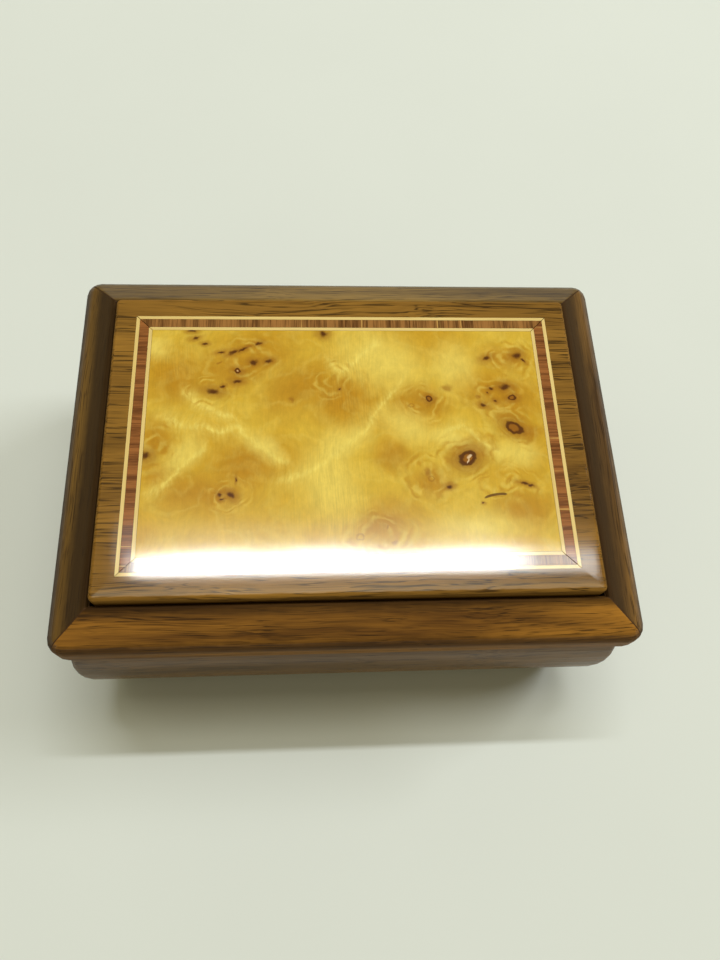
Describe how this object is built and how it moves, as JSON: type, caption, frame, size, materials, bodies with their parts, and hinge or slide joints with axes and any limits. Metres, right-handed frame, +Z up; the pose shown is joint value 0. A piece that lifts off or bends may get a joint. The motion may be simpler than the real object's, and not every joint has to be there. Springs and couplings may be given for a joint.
{
  "type": "musical jewelry box",
  "caption": "Wooden musical jewelry box with a hinged inlaid lid, a velvet-lined tray with ring rolls and a key-wound movement behind a clear cover.",
  "frame": {"origin": "middle of the footprint, on the surface that the case stands on", "axes": "+X along the front towards the right-hand side, +Y towards the hinges, +Z up"},
  "size_m": [0.152, 0.1108, 0.0698],
  "materials": {
    "walnut_body": "dark walnut under gloss lacquer",
    "walnut_frame": "solid walnut moulding under gloss lacquer",
    "walnut_panel": "straight-grained walnut veneer under gloss lacquer",
    "burl": "golden burl veneer under gloss lacquer",
    "boxwood": "pale boxwood stringing under gloss lacquer",
    "cross_band": "reddish cross-grained veneer under gloss lacquer",
    "plywood": "plain plywood, sealed",
    "green_felt": "wool felt",
    "velvet": "short-pile velvet over card or foam",
    "clear_acrylic": "clear polished sheet",
    "brass": "satin brass",
    "steel": "bright plated steel",
    "cast_zinc": "bare zinc casting",
    "white_nylon": "moulded white nylon"
  },
  "bodies": {
    "case": {"body_front_wall": "walnut_body", "body_back_wall": "walnut_body", "body_left_wall": "walnut_body", "body_right_wall": "walnut_body", "base_panel": "plywood", "base_felt": "green_felt", "floor_lining": "velvet", "front_lining": "velvet", "back_lining": "velvet", "right_lining": "velvet", "ring_roll_1": "velvet", "ring_roll_2": "velvet", "ring_roll_3": "velvet", "partition": "velvet", "cover_ledge": "walnut_body", "movement_cover": "clear_acrylic", "movement_bedplate": "cast_zinc", "spring_housing": "steel", "mainspring": "steel", "comb": "steel", "comb_screw_1": "steel", "comb_screw_2": "steel", "front_bearing_bracket": "steel", "rear_bearing_bracket": "steel", "governor_frame": "steel", "mounting_screw_1": "steel", "mounting_screw_2": "steel", "hinge_1_body_leaf": "brass", "hinge_1_body_screw_1": "brass", "hinge_1_body_screw_2": "brass", "hinge_1_pin": "steel", "hinge_2_body_leaf": "brass", "hinge_2_body_screw_1": "brass", "hinge_2_body_screw_2": "brass", "hinge_2_pin": "steel"},
    "lid": {"lid_frame_front": "walnut_frame", "lid_frame_back": "walnut_frame", "lid_frame_left": "walnut_frame", "lid_frame_right": "walnut_frame", "lid_panel": "walnut_panel", "lid_lining": "velvet", "burl_field": "burl", "inlay_outer_line": "boxwood", "inlay_inner_line": "boxwood", "inlay_cross_band": "cross_band", "hinge_1_lid_leaf": "brass", "hinge_1_lid_screw_1": "brass", "hinge_1_lid_screw_2": "brass", "hinge_2_lid_leaf": "brass", "hinge_2_lid_screw_1": "brass", "hinge_2_lid_screw_2": "brass"},
    "winding": {"great_wheel": "brass", "winding_arbor": "steel", "winding_key": "steel"},
    "cylinder": {"pinned_cylinder": "brass", "cylinder_wheel": "white_nylon"},
    "governor": {"governor_wheel": "brass"},
    "fly": {"governor_fly": "steel"},
    "stop_lever": {"stop_lever": "steel"}
  },
  "joints": [
    {"name": "lid_hinge", "type": "hinge", "parent": "case", "child": "lid", "pos_m": [0, 0.05248, 0.05445], "axis": [-1, 0, 0], "range_deg": [0, 100]},
    {"name": "stop_lever_pivot", "type": "hinge", "parent": "case", "child": "stop_lever", "pos_m": [-0.03573, 0.022, 0.03999], "axis": [0, 1, 0], "range_deg": [0, 7]},
    {"name": "winding_spin", "type": "hinge", "parent": "case", "child": "winding", "pos_m": [-0.04373, -0.0135, 0.0127], "axis": [0, 0, 1], "continuous": true},
    {"name": "cylinder_spin", "type": "hinge", "parent": "case", "child": "cylinder", "pos_m": [-0.04373, 0.0001, 0.03262], "axis": [0, 1, 0], "continuous": true},
    {"name": "governor_spin", "type": "hinge", "parent": "case", "child": "governor", "pos_m": [-0.04955, 0.0188, 0.02773], "axis": [0, 1, 0], "continuous": true},
    {"name": "fly_spin", "type": "hinge", "parent": "case", "child": "fly", "pos_m": [-0.05405, 0.023, 0.02773], "axis": [0, 0, 1], "continuous": true}
  ],
  "couplings": [
    {"joint": "stop_lever_pivot", "follows": "lid_hinge", "ratio": 0.07},
    {"joint": "cylinder_spin", "follows": "winding_spin", "ratio": 4},
    {"joint": "governor_spin", "follows": "winding_spin", "ratio": -12},
    {"joint": "fly_spin", "follows": "winding_spin", "ratio": 96}
  ]
}
